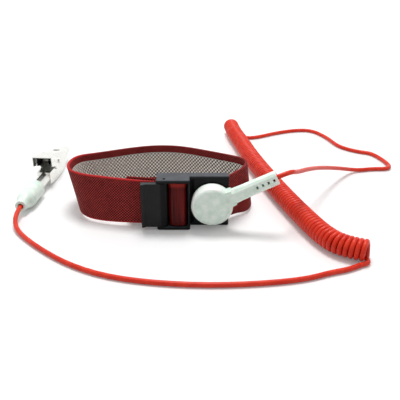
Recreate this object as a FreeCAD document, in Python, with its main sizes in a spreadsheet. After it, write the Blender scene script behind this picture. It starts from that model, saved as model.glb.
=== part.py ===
import FreeCAD, Part
import math
import os
import Sketcher

# Antistatic wrist strap: an elastic band with a cam-lever clasp, a snap connector with its
# resistor, a curly ground cord and a banana plug that carries an alligator clip.
# Millimetres and degrees. +Z is up, +X runs along the clasp, +Y points into the wrist loop.
# The origin is the middle of the clasp's lower face, on the surface that the strap stands on.

DIMENSIONS = {
    # woven band and its conductive lining
    "band_width": 19.0,
    "webbing_thick": 1.1,
    "lining_thick": 0.4,
    "lining_width": 12.6,
    "loop_right": 24.4,
    "loop_left": 55.6,
    "loop_rear": 46.8,
    "tail_reach": 12.5,
    # clasp frame
    "clasp_length": 29.5,
    "clasp_depth": 9.0,
    "base_depth": 4.6,
    "rail_thick": 1.15,
    "side_gap": 0.35,
    "window_length": 12.8,
    "post_thick": 0.85,
    "rear_plate_thick": 1.3,
    "slot_depth": 15.85,
    "slot_thick": 2.1,
    "slot_wall": 0.8,
    "slot_mouth": 2.6,
    "base_gap": 1.7,
    "frame_corner": 1.0,
    "frame_edge": 0.35,
    # bar that the band is folded round
    "bar_length": 4.0,
    "bar_depth": 2.0,
    "bar_setback": 2.3,
    "bar_gap": 0.2,
    "bar_round": 0.85,
    "layer_gap": 0.35,
    # cam lever and its pin
    "pin_setback": 2.2,
    "pin_radius": 0.6,
    "pin_clearance": 0.05,
    "pin_recess": 0.6,
    "barrel_radius": 1.5,
    "lever_reach": 9.3,
    "lever_thick": 2.0,
    "lever_lip": 0.7,
    "lever_gap": 0.35,
    # skin-side contact plate, snap stud and rivet
    "plate_length": 25.0,
    "plate_height": 15.6,
    "plate_thick": 0.5,
    "plate_corner": 2.4,
    "stud_inset": 6.95,
    "flange_radius": 6.4,
    "flange_thick": 0.6,
    "button_radius": 5.0,
    "neck_radius": 4.6,
    "button_height": 3.2,
    "button_wall": 0.5,
    "rivet_radius": 1.5,
    "rivet_head_radius": 2.7,
    "rivet_head_thick": 0.5,
    "fit_gap": 0.05,
    # snap socket with its split spring ring
    "socket_gap": 0.3,
    "socket_depth": 3.8,
    "socket_wall": 1.25,
    "socket_floor": 0.4,
    "ring_height": 1.05,
    "ring_wire": 0.7,
    "ring_opening": 40.0,
    # connector moulding
    "cap_radius": 8.4,
    "cap_depth": 5.5,
    "cap_bevel": 1.45,
    "cap_rim": 0.3,
    "bevel_depth": 1.5,
    "disc_thick": 1.2,
    "disc_dish": 0.15,
    "arm_angle": 25.6,
    "arm_reach": 28.5,
    "arm_root_width": 7.0,
    "arm_width": 5.6,
    "arm_end_width": 5.0,
    "arm_depth": 4.4,
    "arm_edge": 0.7,
    "relief_slots": 4,
    "relief_pitch": 2.4,
    "relief_slot": 0.85,
    "relief_width": 1.3,
    "relief_cut": 1.2,
    "relief_margin": 1.1,
    "resistor_radius": 1.15,
    "resistor_length": 6.3,
    "resistor_start": 10.3,
    "resistor_wire": 7.4,
    "cord_entry": 2.5,
    "entry_gap": 0.3,
    "wire_radius": 0.3,
    # ground cord
    "cord_diameter": 2.0,
    "curl_diameter": 8.8,
    "curl_count": 49,
    # banana plug
    "plug_left": 74.2,
    "plug_back": 9.3,
    "plug_heading": 85.3,
    "boot_radius": 4.2,
    "boot_length": 20.0,
    "boot_tail": 2.4,
    "pin_core": 1.35,
    "plug_pin_length": 16.0,
    "plug_shank": 1.7,
    "leaf_rise": 1.92,
    "leaf_width": 1.4,
    "leaf_thick": 0.2,
    # alligator clip
    "sleeve_bore": 2.1,
    "sheet_thick": 0.7,
    "sleeve_length": 13.0,
    "clip_length": 48.4,
    "pivot_reach": 23.7,
    "pivot_rise": 4.4,
    "pivot_radius": 0.9,
    "jaw_width": 6.4,
    "lever_width": 8.2,
    "thumb_width": 10.0,
    "tip_width": 3.2,
    "thumb_rise": 10.4,
    "tooth_pitch": 1.9,
    "tooth_height": 0.8,
    "tooth_count": 6,
    "bite_rise": 1.6,
    "jaw_gap": 0.12,
    "spring_wire": 0.7,
    "spring_radius": 1.9,
    "spring_pitch": 1.15,
}

# Places worked out from the driving dimensions, in the order that they are needed
PLACES = {
    "clasp_height": "dims.band_width + 2 * dims.side_gap + 2 * dims.rail_thick",
    "mid_height": "clasp_height / 2",
    "clasp_left": "-dims.clasp_length / 2",
    "clasp_right": "dims.clasp_length / 2",
    "clasp_front": "-dims.clasp_depth / 2",
    "clasp_rear": "dims.clasp_depth / 2",
    "base_front": "clasp_rear - dims.base_depth",
    "window_right": "clasp_left + dims.window_length",
    "window_back": "clasp_rear - dims.rear_plate_thick",
    "post_right": "window_right + dims.post_thick",
    "slot_left": "clasp_right - dims.slot_depth",
    "slot_back": "clasp_rear - dims.slot_wall",
    "slot_front": "slot_back - dims.slot_thick",
    "band_thick": "dims.webbing_thick + dims.lining_thick",
    "bar_right": "window_right - dims.side_gap - band_thick - dims.bar_gap",
    "bar_left": "bar_right - dims.bar_length",
    "bar_front": "clasp_front + dims.bar_setback",
    "bar_back": "bar_front + dims.bar_depth",
    "pin_x": "bar_left - dims.bar_gap - band_thick - dims.side_gap - dims.barrel_radius",
    "pin_y": "clasp_front + dims.pin_setback",
    "bore_radius": "dims.pin_radius + dims.pin_clearance",
    "lever_front": "clasp_front + 0.1",
    "lever_back": "lever_front + dims.lever_thick",
    "lever_tip": "pin_x - dims.lever_reach",
    "lever_low": "dims.rail_thick + dims.lever_gap",
    "lever_high": "clasp_height - dims.rail_thick - dims.lever_gap",
    "stud_x": "clasp_right - dims.stud_inset",
    "rivet_bore": "dims.rivet_radius + dims.fit_gap",
    "plate_back": "dims.base_depth + dims.plate_thick",
    "button_top": "dims.flange_thick + dims.button_height",
    "socket_low": "dims.flange_thick + dims.socket_gap",
    "socket_high": "socket_low + dims.socket_depth",
    "socket_bore": "dims.button_radius + dims.fit_gap",
    "socket_radius": "socket_bore + dims.socket_wall",
    "ring_middle": "dims.flange_thick + dims.ring_height",
    "ring_radius": "dims.neck_radius + dims.fit_gap * 2 + dims.ring_wire / 2",
    "groove_radius": "ring_radius + dims.ring_wire / 2 + dims.fit_gap * 2",
    "groove_half": "dims.ring_wire / 2 + dims.fit_gap",
    "cap_low": "socket_low - 0.1",
    "cap_high": "cap_low + dims.cap_depth",
    "disc_radius": "dims.cap_radius - dims.cap_bevel - dims.cap_rim - dims.fit_gap",
    "disc_low": "cap_high - dims.disc_thick",
    "arm_middle": "(cap_low + cap_high) / 2",
    "resistor_end": "dims.resistor_start + dims.resistor_length",
    "cord_radius": "dims.cord_diameter / 2",
    "entry_radius": "cord_radius + dims.entry_gap",
    "curl_radius": "( dims.curl_diameter - dims.cord_diameter ) / 2",
    "plug_tip": "dims.boot_length + dims.plug_pin_length",
    "clip_rear": "dims.boot_length + dims.side_gap",
    "clip_tip": "clip_rear + dims.clip_length",
    "sleeve_radius": "dims.sleeve_bore + dims.sheet_thick",
    "sleeve_end": "clip_rear + dims.sleeve_length",
    "pivot_u": "clip_rear + dims.pivot_reach",
}

doc = FreeCAD.newDocument("wrist_strap")
Vector = FreeCAD.Vector
Rotation = FreeCAD.Rotation


def fill_sheet(name, cells):
    """Make a spreadsheet with a label and an aliased value on each row."""
    sheet = doc.addObject("Spreadsheet::Sheet", name)
    for row, (alias, content) in enumerate(cells.items(), start=1):
        sheet.set("A%d" % row, alias)
        sheet.set("B%d" % row, content)
        sheet.setAlias("B%d" % row, alias)
    return sheet


dims = fill_sheet("dims", {alias: str(number) for alias, number in DIMENSIONS.items()})
doc.recompute()
places = fill_sheet("places", {alias: "=" + formula for alias, formula in PLACES.items()})
doc.recompute()

nodes = {}


def size(alias):
    """Value of a driving dimension or of a worked-out place."""
    sheet = dims if alias in DIMENSIONS else places
    return float(sheet.get(alias))


def formula(text):
    """Put the sheet's name before each alias, so that a feature can be bound to the text."""
    words = []
    for word in text.replace("(", "( ").replace(")", " )").split():
        sign = "-" if word.startswith("-") and len(word) > 1 else ""
        name = word[len(sign):]
        if name in DIMENSIONS:
            name = "dims." + name
        elif name in PLACES:
            name = "places." + name
        words.append(sign + name)
    return " ".join(words)


# Sketches, pads and cuts

def new_body(label):
    body = doc.addObject("PartDesign::Body", label)
    nodes[label] = body
    return body


def origin_plane(body, role):
    for feature in body.Origin.OriginFeatures:
        if feature.Role == role:
            return feature
    raise ValueError("no plane " + role)


def new_sketch(body, name, role, offset):
    """Sketch on an origin plane, moved along the plane's normal by a formula."""
    sketch = body.newObject("Sketcher::SketchObject", name)
    sketch.AttachmentSupport = (origin_plane(body, role), "")
    sketch.MapMode = "FlatFace"
    sketch.setExpression("AttachmentOffset.Base.z", formula(offset))
    return sketch


def tie(sketch, index, end, across, up):
    """Fix one end of a line, or a circle's centre, at two formulas from the sketch's origin."""
    for kind, text in (("DistanceX", across), ("DistanceY", up)):
        row = sketch.addConstraint(Sketcher.Constraint(kind, -1, 1, index, end, 1.0))
        sketch.setExpression("Constraints[%d]" % row, formula(text))


def draw_polygon(sketch, corners):
    """Closed outline whose corners are pairs of formulas, given anticlockwise."""
    count = len(corners)
    first = sketch.GeometryCount
    guess = [Vector(9 * math.cos(2 * math.pi * step / count), 9 * math.sin(2 * math.pi * step / count), 0)
             for step in range(count)]
    for step in range(count):
        sketch.addGeometry(Part.LineSegment(guess[step], guess[(step + 1) % count]), False)
    for step in range(count):
        after = first + (step + 1) % count
        sketch.addConstraint(Sketcher.Constraint("Coincident", first + step, 2, after, 1))
    for step, (across, up) in enumerate(corners):
        tie(sketch, first + step, 1, across, up)


def draw_circle(sketch, across, up, radius):
    index = sketch.addGeometry(Part.Circle(Vector(1, 1, 0), Vector(0, 0, 1), 1.0), False)
    tie(sketch, index, 3, across, up)
    row = sketch.addConstraint(Sketcher.Constraint("Radius", index, 1.0))
    sketch.setExpression("Constraints[%d]" % row, formula(radius))


def slab(body, name, role, low, high, cut=False, corners=None, circle=None):
    """Pad or pocket between two levels along the normal axis of an origin plane."""
    flipped = role == "XZ_Plane"
    start = high if cut != flipped else low
    sketch = new_sketch(body, name + "_sketch", role, "-1 * ( %s )" % start if flipped else start)
    if corners:
        draw_polygon(sketch, corners)
    if circle:
        draw_circle(sketch, *circle)
    feature = body.newObject("PartDesign::Pocket" if cut else "PartDesign::Pad", name)
    feature.Profile = sketch
    feature.Type = "Length"
    feature.setExpression("Length", formula("( %s ) - ( %s )" % (high, low)))
    body.Tip = feature
    doc.recompute()
    return feature


def rectangle(left, low, right, high):
    return [(left, low), (right, low), (right, high), (left, high)]


def turned(body, name, corners, axis="V_Axis", cut=False):
    """Revolve an outline drawn on the XZ plane about one of the sketch's own axes."""
    sketch = new_sketch(body, name + "_sketch", "XZ_Plane", "0")
    draw_polygon(sketch, corners)
    feature = body.newObject("PartDesign::Groove" if cut else "PartDesign::Revolution", name)
    feature.Profile = sketch
    feature.ReferenceAxis = (sketch, [axis])
    feature.Angle = 360.0
    body.Tip = feature
    doc.recompute()
    return feature


def round_edges(body, name, radius, chosen, kind="Fillet"):
    """Fillet or chamfer the edges of the body's tip that a test picks out."""
    base = body.Tip
    names = ["Edge%d" % number for number, edge in enumerate(base.Shape.Edges, start=1) if chosen(edge)]
    feature = body.newObject("PartDesign::" + kind, name)
    feature.Base = (base, names)
    feature.setExpression("Radius" if kind == "Fillet" else "Size", formula(radius))
    body.Tip = feature
    doc.recompute()
    return feature


def upright_at(spots):
    """Test for vertical edges that stand at one of the given X, Y spots."""
    def chosen(edge):
        ends = [vertex.Point for vertex in edge.Vertexes]
        if len(ends) != 2 or abs(ends[0].x - ends[1].x) + abs(ends[0].y - ends[1].y) > 1e-6:
            return False
        return any(math.hypot(ends[0].x - x, ends[0].y - y) < 1e-4 for x, y in spots)
    return chosen


def place_on_snap(thing, turn=0.0):
    """Put a piece drawn round its own Z axis on the stud's axis, Z pointing out of the clasp."""
    spin = Rotation(Vector(1, 0, 0), 90).multiply(Rotation(Vector(0, 0, 1), turn))
    spot = Vector(size("stud_x"), size("base_front"), size("mid_height"))
    thing.Placement = FreeCAD.Placement(spot, spin)


def place_on_plug(thing):
    """Put a piece drawn along its own X axis on the banana plug's axis."""
    spot = Vector(-size("plug_left"), size("plug_back"), size("boot_radius"))
    thing.Placement = FreeCAD.Placement(spot, Rotation(Vector(0, 0, 1), size("plug_heading")))


def keep_shape(label, shape):
    """Sub-part whose shape is worked out with Part's own functions."""
    thing = doc.addObject("Part::Feature", label)
    thing.Shape = shape
    nodes[label] = thing
    return thing


# Lines and arcs

def arc_from(start, heading, finish):
    """Arc from a start with a given heading to a finish, or a line where they are in line."""
    chord = finish - start
    side = chord - heading * chord.dot(heading)
    if side.Length < 1e-7 * chord.Length:
        return Part.LineSegment(start, finish).toShape()
    side.normalize()
    radius = chord.Length ** 2 / (2 * chord.dot(side))
    centre = start + side * radius
    middle = (start - centre) + (finish - centre)
    middle.normalize()
    return Part.Arc(start, centre + middle * radius, finish).toShape()


def biarc(start, heading, finish, arrival):
    """Two tangent arcs between two points with given unit headings."""
    chord = finish - start
    both = heading + arrival
    spread = 2 * (1 - heading.dot(arrival))
    reach = chord.dot(both)
    root = math.sqrt(reach ** 2 + spread * chord.dot(chord))
    length = (root - reach) / spread
    joint = (start + heading * length + finish - arrival * length) * 0.5
    first = arc_from(start, heading, joint)
    second = arc_from(finish, arrival * -1.0, joint)
    back = second.Curve
    low, high = second.ParameterRange
    return [first, Part.Arc(joint, back.value((low + high) / 2), finish).toShape()]


def corner_radius(before, after, turn, share):
    return share * min(before, after) / math.tan(turn / 2)


def rounded_route(points, share=0.45):
    """Straight runs joined by tangent arcs, each as large as its two runs allow."""
    edges = []
    radii = []
    at = points[0]
    for before, corner, after in zip(points, points[1:], points[2:]):
        back = before - corner
        ahead = after - corner
        turn = math.pi - back.getAngle(ahead)
        radius = corner_radius(back.Length, ahead.Length, turn, share)
        reach = radius * math.tan(turn / 2)
        enter = corner + back.normalize() * reach
        leave = corner + ahead.normalize() * reach
        edges.append(Part.LineSegment(at, enter).toShape())
        edges.append(arc_from(enter, (corner - enter).normalize(), leave))
        radii.append(radius)
        at = leave
    edges.append(Part.LineSegment(at, points[-1]).toShape())
    return edges, radii


def ring_profile(centre, normal, radius, sides, turn=0.0):
    """Flat-sided outline of a cord or wire, square to its path."""
    up = Vector(0, 0, 1) if abs(normal.z) < 0.9 else Vector(1, 0, 0)
    across = normal.cross(up)
    across.normalize()
    up = across.cross(normal)
    corners = []
    for step in range(sides + 1):
        angle = 2 * math.pi * (step % sides) / sides + turn
        corners.append(centre + across * (radius * math.cos(angle)) + up * (radius * math.sin(angle)))
    return Part.makePolygon(corners)


def swept(label, edges, diameter, sides, turn=0.0):
    """One tube along a chain of edges, with its volume compared with section times length."""
    path = Part.Wire(edges)
    start = edges[0].valueAt(edges[0].FirstParameter)
    heading = edges[0].tangentAt(edges[0].FirstParameter)
    profile = ring_profile(start, heading, diameter / 2, sides, turn)
    tube = path.makePipeShell([profile], True, False)
    section = Part.Face(profile).Area
    print("%s: length %.1f, volume %.1f, section times length %.1f"
          % (label, path.Length, tube.Volume, section * path.Length))
    return tube


# Clasp frame

clasp = new_body("clasp_frame")
slab(clasp, "frame_block", "XY_Plane", "0", "clasp_height", corners=[
    ("clasp_left", "clasp_front"),
    ("post_right", "clasp_front"),
    ("post_right", "base_front"),
    ("clasp_right", "base_front"),
    ("clasp_right", "clasp_rear"),
    ("clasp_left", "clasp_rear"),
])
frame_corners = [
    (size("clasp_left"), size("clasp_front")),
    (size("post_right"), size("clasp_front")),
    (size("clasp_right"), size("base_front")),
    (size("clasp_right"), size("clasp_rear")),
    (size("clasp_left"), size("clasp_rear")),
]
round_edges(clasp, "frame_corners", "frame_corner", upright_at(frame_corners))


def on_end_faces(edge):
    spots = [edge.valueAt(edge.FirstParameter), edge.valueAt(edge.LastParameter)]
    return any(all(abs(spot.z - level) < 1e-6 for spot in spots) for level in (0.0, size("clasp_height")))


round_edges(clasp, "frame_edges", "frame_edge", on_end_faces, kind="Chamfer")
slab(clasp, "window", "XY_Plane", "rail_thick", "clasp_height - rail_thick", cut=True,
     corners=rectangle("clasp_left - 1", "clasp_front - 1", "window_right", "window_back"))
slab(clasp, "band_slot", "XY_Plane", "rail_thick", "clasp_height - rail_thick", cut=True,
     corners=rectangle("slot_left", "slot_front", "clasp_right + 1", "slot_back"))
slab(clasp, "slot_mouth", "XY_Plane", "rail_thick", "clasp_height - rail_thick", cut=True,
     corners=rectangle("clasp_right - slot_mouth", "slot_front", "clasp_right + 1", "clasp_rear + 1"))
slab(clasp, "base_opening", "XY_Plane", "rail_thick", "clasp_height - rail_thick", cut=True,
     corners=rectangle("post_right", "base_front - 1", "post_right + base_gap", "slot_front + 0.5"))
slab(clasp, "bar", "XY_Plane", "rail_thick - 0.1", "clasp_height - rail_thick + 0.1",
     corners=rectangle("bar_left", "bar_front", "bar_right", "bar_back"))
bar_corners = [(size(x), size(y)) for x in ("bar_left", "bar_right") for y in ("bar_front", "bar_back")]
round_edges(clasp, "bar_rounds", "bar_round", upright_at(bar_corners))
slab(clasp, "pin_holes", "XY_Plane", "-1", "clasp_height + 1", cut=True,
     circle=("pin_x", "pin_y", "bore_radius"))
slab(clasp, "rivet_hole", "XZ_Plane", "base_front - 1", "clasp_rear + 1", cut=True,
     circle=("stud_x", "mid_height", "rivet_bore"))

# Cam lever and its pin

lever = new_body("clasp_lever")
slab(lever, "barrel", "XY_Plane", "lever_low", "lever_high", circle=("pin_x", "pin_y", "barrel_radius"))
slab(lever, "plate", "XY_Plane", "lever_low", "lever_high",
     corners=rectangle("lever_tip", "lever_front", "pin_x", "lever_back"))
slab(lever, "thumb_lip", "XY_Plane", "lever_low", "lever_high", corners=[
    ("lever_tip", "lever_front - lever_lip"),
    ("lever_tip + 0.9", "lever_front - lever_lip"),
    ("lever_tip + 2.2", "lever_front + 0.2"),
    ("lever_tip", "lever_front + 0.2"),
])
slab(lever, "pin_bore", "XY_Plane", "0", "clasp_height", cut=True, circle=("pin_x", "pin_y", "bore_radius"))

pin = new_body("lever_pin")
slab(pin, "pin_rod", "XY_Plane", "pin_recess", "clasp_height - pin_recess",
     circle=("pin_x", "pin_y", "pin_radius"))

# Contact plate, snap stud and rivet

plate = new_body("contact_plate")
slab(plate, "plate_sheet", "XZ_Plane", "clasp_rear", "clasp_rear + plate_thick",
     corners=rectangle("-1 * plate_length / 2", "mid_height - plate_height / 2",
                       "plate_length / 2", "mid_height + plate_height / 2"))


def across_plate(edge):
    ends = [vertex.Point for vertex in edge.Vertexes]
    return len(ends) == 2 and abs(ends[0].y - ends[1].y) > 0.1


round_edges(plate, "plate_corners", "plate_corner", across_plate)
slab(plate, "plate_hole", "XZ_Plane", "clasp_rear - 1", "clasp_rear + 1", cut=True,
     circle=("stud_x", "mid_height", "rivet_head_radius + fit_gap"))

stud = new_body("snap_stud")
turned(stud, "stud_form", [
    ("rivet_bore", "0"),
    ("flange_radius", "0"),
    ("flange_radius", "flange_thick"),
    ("neck_radius", "flange_thick"),
    ("neck_radius", "flange_thick + 0.45 * button_height"),
    ("button_radius", "flange_thick + 0.6 * button_height"),
    ("button_radius", "flange_thick + 0.85 * button_height"),
    ("button_radius - 0.4", "button_top"),
    ("neck_radius - button_wall", "button_top"),
    ("neck_radius - button_wall", "flange_thick"),
    ("rivet_bore", "flange_thick"),
])
place_on_snap(stud)

rivet = new_body("stud_rivet")
turned(rivet, "rivet_form", [
    ("0", "-1 * plate_back"),
    ("rivet_head_radius", "-1 * plate_back"),
    ("rivet_head_radius", "-1 * base_depth"),
    ("rivet_radius", "-1 * base_depth"),
    ("rivet_radius", "flange_thick"),
    ("rivet_head_radius", "flange_thick"),
    ("rivet_head_radius", "flange_thick + rivet_head_thick"),
    ("0", "flange_thick + rivet_head_thick"),
])
place_on_snap(rivet)

# Connector: socket, spring ring, moulding with its arm, face disc and resistor

socket = new_body("snap_socket")
turned(socket, "socket_form", [
    ("socket_bore", "socket_low"),
    ("socket_radius", "socket_low"),
    ("socket_radius", "socket_high"),
    ("0", "socket_high"),
    ("0", "socket_high - socket_floor"),
    ("socket_bore", "socket_high - socket_floor"),
    ("socket_bore", "ring_middle + groove_half"),
    ("groove_radius", "ring_middle + groove_half"),
    ("groove_radius", "ring_middle - groove_half"),
    ("socket_bore", "ring_middle - groove_half"),
])
place_on_snap(socket, size("arm_angle"))

shell = new_body("connector_shell")
turned(shell, "shell_form", [
    ("socket_radius + fit_gap", "cap_low"),
    ("cap_radius", "cap_low"),
    ("cap_radius", "cap_high - bevel_depth"),
    ("cap_radius - 0.4 * cap_bevel", "cap_high - 0.4 * bevel_depth"),
    ("cap_radius - cap_bevel", "cap_high"),
    ("disc_radius + fit_gap", "cap_high"),
    ("disc_radius + fit_gap", "disc_low"),
    ("0", "disc_low"),
    ("0", "socket_high + fit_gap"),
    ("socket_radius + fit_gap", "socket_high + fit_gap"),
])
slab(shell, "arm", "XY_Plane", "arm_middle - arm_depth / 2", "arm_middle + arm_depth / 2", corners=[
    ("cap_radius - 1.6", "-1 * arm_root_width / 2"),
    ("cap_radius + 4.1", "-1 * arm_width / 2"),
    ("arm_reach", "-1 * arm_end_width / 2"),
    ("arm_reach", "arm_end_width / 2"),
    ("cap_radius + 4.1", "arm_width / 2"),
    ("cap_radius - 1.6", "arm_root_width / 2"),
])
for name, side, face in (("arm_edge_1", "1", "1"), ("arm_edge_2", "-1", "1"),
                         ("arm_edge_3", "1", "-1"), ("arm_edge_4", "-1", "-1")):
    slab(shell, name, "YZ_Plane", "cap_radius + 1.2", "arm_reach + 1", cut=True, corners=[
        (side + " * ( arm_end_width / 2 - arm_edge - 1 )", "arm_middle + " + face + " * ( arm_depth / 2 + 1 )"),
        (side + " * ( arm_end_width / 2 + 1 )", "arm_middle + " + face + " * ( arm_depth / 2 - arm_edge - 1 )"),
        (side + " * ( arm_end_width / 2 + 1 )", "arm_middle + " + face + " * ( arm_depth / 2 + 1 )"),
    ])
for step in range(DIMENSIONS["relief_slots"]):
    middle = "arm_reach - relief_margin - relief_slot / 2 - %d * relief_pitch" % step
    window = rectangle(middle + " - relief_slot / 2", "-1 * relief_width / 2",
                       middle + " + relief_slot / 2", "relief_width / 2")
    slab(shell, "front_slot_%d" % (step + 1), "XY_Plane", "arm_middle + arm_depth / 2 - relief_cut",
         "arm_middle + arm_depth / 2 + 1", cut=True, corners=window)
    slab(shell, "back_slot_%d" % (step + 1), "XY_Plane", "arm_middle - arm_depth / 2 - 1",
         "arm_middle - arm_depth / 2 + relief_cut", cut=True, corners=window)
slab(shell, "wire_bore", "YZ_Plane", "socket_radius - 1", "resistor_start", cut=True,
     circle=("0", "arm_middle", "wire_radius + 2 * fit_gap"))
slab(shell, "cord_bore", "YZ_Plane", "resistor_start - 0.3", "arm_reach + 1", cut=True,
     circle=("0", "arm_middle", "entry_radius"))
place_on_snap(shell, size("arm_angle"))

disc = new_body("connector_cap")
turned(disc, "disc_form", [
    ("0", "disc_low + fit_gap"),
    ("disc_radius", "disc_low + fit_gap"),
    ("disc_radius", "cap_high"),
    ("disc_radius - 0.7", "cap_high"),
    ("disc_radius - 0.7", "cap_high - disc_dish"),
    ("0", "cap_high - disc_dish"),
])
place_on_snap(disc, size("arm_angle"))

resistor = new_body("resistor")
slab(resistor, "resistor_body", "YZ_Plane", "resistor_start", "resistor_end",
     circle=("0", "arm_middle", "resistor_radius"))
slab(resistor, "socket_wire", "YZ_Plane", "socket_radius + 0.3", "resistor_start",
     circle=("0", "arm_middle", "wire_radius"))
slab(resistor, "cord_wire", "YZ_Plane", "resistor_end", "resistor_end + resistor_wire",
     circle=("0", "arm_middle", "wire_radius"))
place_on_snap(resistor, size("arm_angle"))

ring_reach = size("ring_radius")
ring_half = math.radians(180 - size("ring_opening") / 2)
ring_spots = [Vector(ring_reach * math.cos(angle), ring_reach * math.sin(angle), size("ring_middle"))
              for angle in (-ring_half, 0.0, ring_half)]
ring_arc = Part.Arc(*ring_spots).toShape()
ring = keep_shape("snap_spring", swept("snap_spring", [ring_arc], size("ring_wire"), 4))
place_on_snap(ring, size("arm_angle"))

# Banana plug

boot = new_body("plug_boot")
turned(boot, "boot_form", [
    ("0", "entry_radius"),
    ("cord_entry", "entry_radius"),
    ("cord_entry", "0"),
    ("0.4 * boot_length", "0"),
    ("0.4 * boot_length", "plug_shank + fit_gap"),
    ("boot_length", "plug_shank + fit_gap"),
    ("boot_length", "boot_radius - 0.5"),
    ("boot_length - 0.5", "boot_radius"),
    ("0.4 * boot_length", "boot_radius"),
    ("0.28 * boot_length", "boot_radius - 0.45"),
    ("0.16 * boot_length", "boot_tail + 0.3"),
    ("0", "boot_tail"),
], axis="H_Axis")
place_on_plug(boot)

core = new_body("banana_pin")
turned(core, "pin_form", [
    ("0.4 * boot_length", "0"),
    ("plug_tip", "0"),
    ("plug_tip", "0.5 * pin_core"),
    ("plug_tip - 0.9", "pin_core"),
    ("boot_length + 0.9", "pin_core"),
    ("boot_length + 0.9", "plug_shank"),
    ("0.4 * boot_length", "plug_shank"),
], axis="H_Axis")
place_on_plug(core)

leaves = new_body("banana_leaves")
for name, start in (("rear_collar", "boot_length + 1.5"), ("tip_collar", "boot_length + 13")):
    slab(leaves, name, "YZ_Plane", start, start + " + 1", circle=("0", "0", "pin_core + fit_gap + leaf_thick"))


def leaf_side(flip):
    """Outline of one bowed leaf along the plug, on the positive or the negative side."""
    inner = "pin_core + fit_gap"
    outline = [
        ("boot_length + 1.6", inner),
        ("boot_length + 4", inner + " + 0.05"),
        ("boot_length + 6.4", "leaf_rise - leaf_thick"),
        ("boot_length + 9.2", "leaf_rise - leaf_thick"),
        ("boot_length + 11.6", inner + " + 0.05"),
        ("boot_length + 13.9", inner),
        ("boot_length + 13.9", inner + " + leaf_thick"),
        ("boot_length + 11.6", inner + " + 0.05 + leaf_thick"),
        ("boot_length + 9.2", "leaf_rise"),
        ("boot_length + 6.4", "leaf_rise"),
        ("boot_length + 4", inner + " + 0.05 + leaf_thick"),
        ("boot_length + 1.6", inner + " + leaf_thick"),
    ]
    return [(across, "-1 * ( %s )" % up) for across, up in outline][::-1] if flip else outline


for name, role, flip in (("leaf_1", "XZ_Plane", False), ("leaf_2", "XZ_Plane", True),
                         ("leaf_3", "XY_Plane", False), ("leaf_4", "XY_Plane", True)):
    slab(leaves, name, role, "-1 * leaf_width / 2", "leaf_width / 2", corners=leaf_side(flip))
slab(leaves, "core_bore", "YZ_Plane", "boot_length", "plug_tip", cut=True, circle=("0", "0", "pin_core + fit_gap"))
place_on_plug(leaves)

# Alligator clip: its lower jaw carries the sleeve that slides on the banana plug


def tooth_line(rise):
    """Corners of the bite from the tip backwards, as formulas."""
    corners = []
    for step in range(2 * DIMENSIONS["tooth_count"] + 1):
        sign = "+" if step % 2 else "-"
        level = "bite_rise %s tooth_height / 2" % sign
        corners.append(("clip_tip - %d * tooth_pitch / 2" % step, level + rise))
    return corners


def taper(body, name, near, far, straight_end, edge):
    """Cut both sides of a jaw along its plan outline."""
    sketch = new_sketch(body, name + "_sketch", "XY_Plane", "20")
    outline = [
        ("sleeve_end - 3", near),
        ("sleeve_end + 4.7", edge),
        (straight_end, edge),
        ("clip_tip", far),
        ("clip_tip + 2", far),
        ("clip_tip + 2", "9"),
        ("sleeve_end - 3", "9"),
    ]
    draw_polygon(sketch, outline)
    draw_polygon(sketch, [(across, "-1 * ( %s )" % up) for across, up in reversed(outline)])
    feature = body.newObject("PartDesign::Pocket", name)
    feature.Profile = sketch
    feature.Type = "Length"
    feature.Length = 40
    body.Tip = feature
    doc.recompute()


lower = new_body("clip_lower_jaw")
slab(lower, "channel", "XZ_Plane", "-1 * jaw_width / 2", "jaw_width / 2", corners=[
    ("sleeve_end - 1.8", "-1 * sleeve_radius"),
    ("sleeve_end + 6.7", "-1 * boot_radius"),
    ("sleeve_end + 21.7", "-1 * boot_radius"),
    ("clip_tip", "bite_rise - tooth_height / 2 - 0.8"),
] + tooth_line("") + [
    ("sleeve_end + 21.7", "bite_rise + 0.2"),
    ("pivot_u + 4.8", "bite_rise + 1.2"),
    ("pivot_u + 2.5", "pivot_rise + 1.8"),
    ("pivot_u - 3.5", "pivot_rise + 1.8"),
    ("pivot_u - 6.5", "sleeve_radius"),
    ("sleeve_end - 1.8", "sleeve_radius"),
])
slab(lower, "channel_hollow", "XZ_Plane", "sheet_thick - jaw_width / 2", "jaw_width / 2 - sheet_thick", cut=True,
     corners=[
         ("sleeve_end", "sheet_thick - sleeve_radius - 0.3"),
         ("sleeve_end + 6.7", "sheet_thick - boot_radius"),
         ("sleeve_end + 16.7", "sheet_thick - boot_radius"),
         ("sleeve_end + 16.7", "9"),
         ("sleeve_end", "9"),
     ])
slab(lower, "middle_hollow", "XZ_Plane", "-1.9", "1.9", cut=True, corners=rectangle(
    "sleeve_end + 16", "sheet_thick - boot_radius", "sleeve_end + 22.2", "9"))
slab(lower, "tip_hollow", "XZ_Plane", "-0.9", "0.9", cut=True, corners=[
    ("sleeve_end + 20", "sheet_thick - boot_radius"),
    ("sleeve_end + 22", "sheet_thick - boot_radius"),
    ("clip_tip - 2.2", "bite_rise - tooth_height / 2 - 0.8"),
    ("clip_tip - 2.2", "9"),
    ("sleeve_end + 20", "9"),
])
taper(lower, "jaw_sides", "jaw_width / 2 + 0.5", "tip_width / 2", "sleeve_end + 16.7", "jaw_width / 2 + 0.01")
turned(lower, "sleeve", [
    ("clip_rear", "sleeve_bore"),
    ("sleeve_end", "sleeve_bore"),
    ("sleeve_end", "sleeve_radius"),
    ("clip_rear", "sleeve_radius"),
], axis="H_Axis")
turned(lower, "sleeve_mouth", [
    ("clip_rear", "0"),
    ("sleeve_end + 1", "0"),
    ("sleeve_end + 1", "sleeve_bore"),
    ("clip_rear", "sleeve_bore"),
], axis="H_Axis", cut=True)
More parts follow.
